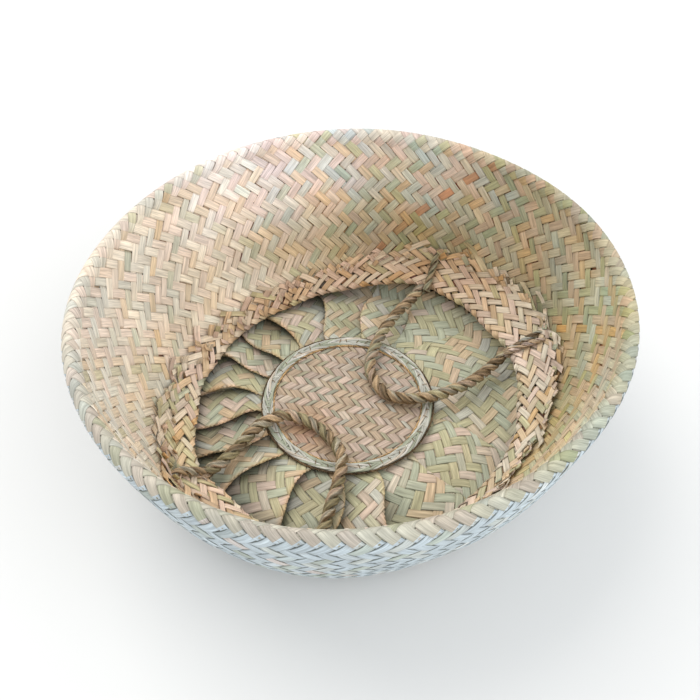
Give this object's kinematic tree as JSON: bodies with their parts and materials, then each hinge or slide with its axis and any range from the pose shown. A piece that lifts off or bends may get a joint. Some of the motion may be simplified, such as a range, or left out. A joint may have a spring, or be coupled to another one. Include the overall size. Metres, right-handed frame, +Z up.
{
  "type": "seagrass storage basket",
  "caption": "Round plaited seagrass storage basket, its upper half folded down inside, with a gathered base and twisted rope handles.",
  "frame": {"origin": "middle of the underside, on the surface that the basket stands on", "axes": "+Z up, -Y the front, +X to the right seen from the front"},
  "size_m": [0.36, 0.36, 0.13],
  "materials": {
    "outer_plait": "plaited leaf, pale grey-green, dull",
    "inner_plait": "plaited leaf, straw and pink-beige, slight waxy sheen",
    "hem_plait": "plaited leaf, pink-tan, cut ends",
    "base_plait": "plaited leaf, olive green, pleated",
    "disc_plait": "fine plaited leaf, tan",
    "ring_braid": "flat braid, pale grey-beige",
    "thread": "dark sewing thread",
    "rope": "two-ply twisted grass rope, olive brown"
  },
  "bodies": {
    "basket": {"outer_wall": "outer_plait", "rim_fold": "outer_plait", "inner_wall": "inner_plait", "mouth_hem": "hem_plait", "pleated_base": "base_plait", "base_disc": "disc_plait", "base_ring": "ring_braid", "sewing_thread": "thread", "back_handle_left_tie": "rope", "back_handle_right_tie": "rope", "front_handle_left_tie": "rope", "front_handle_right_tie": "rope"},
    "back_rope": {"back_handle": "rope"},
    "front_rope": {"front_handle": "rope"}
  },
  "joints": [
    {"name": "back_handle_swing", "type": "hinge", "parent": "basket", "child": "back_rope", "pos_m": [0.082, 0.0675, 0.015], "axis": [-0.6017, 0.7988, 0], "range_deg": [0, 105]},
    {"name": "front_handle_swing", "type": "hinge", "parent": "basket", "child": "front_rope", "pos_m": [-0.05575, -0.08725, 0.015], "axis": [0.8278, -0.5611, 0], "range_deg": [0, 105]}
  ]
}
